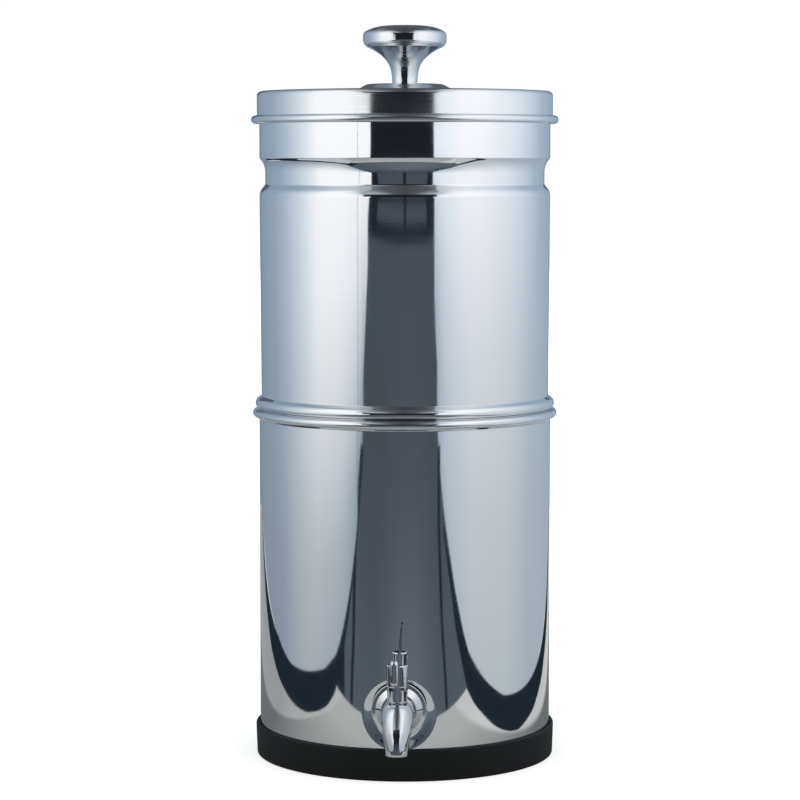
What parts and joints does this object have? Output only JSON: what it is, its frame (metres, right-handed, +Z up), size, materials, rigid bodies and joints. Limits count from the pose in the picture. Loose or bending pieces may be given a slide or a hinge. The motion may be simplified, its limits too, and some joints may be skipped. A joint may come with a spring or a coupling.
{
  "type": "gravity water filter with tap",
  "caption": "Countertop gravity water filter with stacked polished steel chambers, ceramic candles, a lift-off lid with mushroom knob and a quarter-turn lever tap.",
  "frame": {"origin": "centre of the base ring's flat underside, on the vessel's axis at counter level", "axes": "+Z up along the vessel's axis, -Y towards the tap, +X to the right seen from the tap's side"},
  "size_m": [0.2264, 0.2762, 0.5397],
  "materials": {
    "polished_steel": "mirror polished",
    "chrome_plate": "bright plated",
    "knob_metal": "mirror polished",
    "valve_brass": "machined",
    "black_rubber": "satin",
    "grey_silicone": "satin",
    "white_ceramic": "unglazed matte",
    "white_plastic": "satin moulded",
    "seat_plastic": "waxy"
  },
  "bodies": {
    "vessel": {"base_ring": "black_rubber", "lower_chamber": "polished_steel", "tap_gasket": "black_rubber", "tap_rosette": "chrome_plate", "tap_shank": "valve_brass", "tap_inner_washer": "grey_silicone", "tap_back_nut": "white_plastic", "tap_body": "chrome_plate", "ball_seats": "seat_plastic", "tap_bonnet": "chrome_plate"},
    "tap_lever": {"valve_ball": "polished_steel", "valve_stem": "valve_brass", "stem_o_ring": "black_rubber", "tap_handle": "chrome_plate", "handle_blade": "polished_steel", "handle_rivet": "polished_steel", "handle_grub_screw": "polished_steel"},
    "upper_vessel": {"upper_chamber": "polished_steel", "candle_shell_left": "white_ceramic", "candle_shell_right": "white_ceramic", "candle_cup_left": "white_plastic", "candle_cup_right": "white_plastic", "candle_washers": "grey_silicone", "wing_nut_left": "white_plastic", "wing_nut_right": "white_plastic", "blanking_plugs": "white_plastic", "plug_washers": "grey_silicone", "plug_nuts": "white_plastic"},
    "lid_assembly": {"lid": "polished_steel", "knob": "knob_metal", "knob_screw": "polished_steel", "knob_washer": "polished_steel"}
  },
  "joints": [
    {"name": "tap_turn", "type": "hinge", "parent": "vessel", "child": "tap_lever", "pos_m": [0, -0.14, 0.052], "axis": [0, 0, 1], "range_deg": [0, 90]},
    {"name": "upper_lift", "type": "slide", "parent": "vessel", "child": "upper_vessel", "axis": [0, 0, 1], "range_m": [0, 0.12]},
    {"name": "lid_lift", "type": "slide", "parent": "upper_vessel", "child": "lid_assembly", "axis": [0, 0, 1], "range_m": [0, 0.08]}
  ]
}
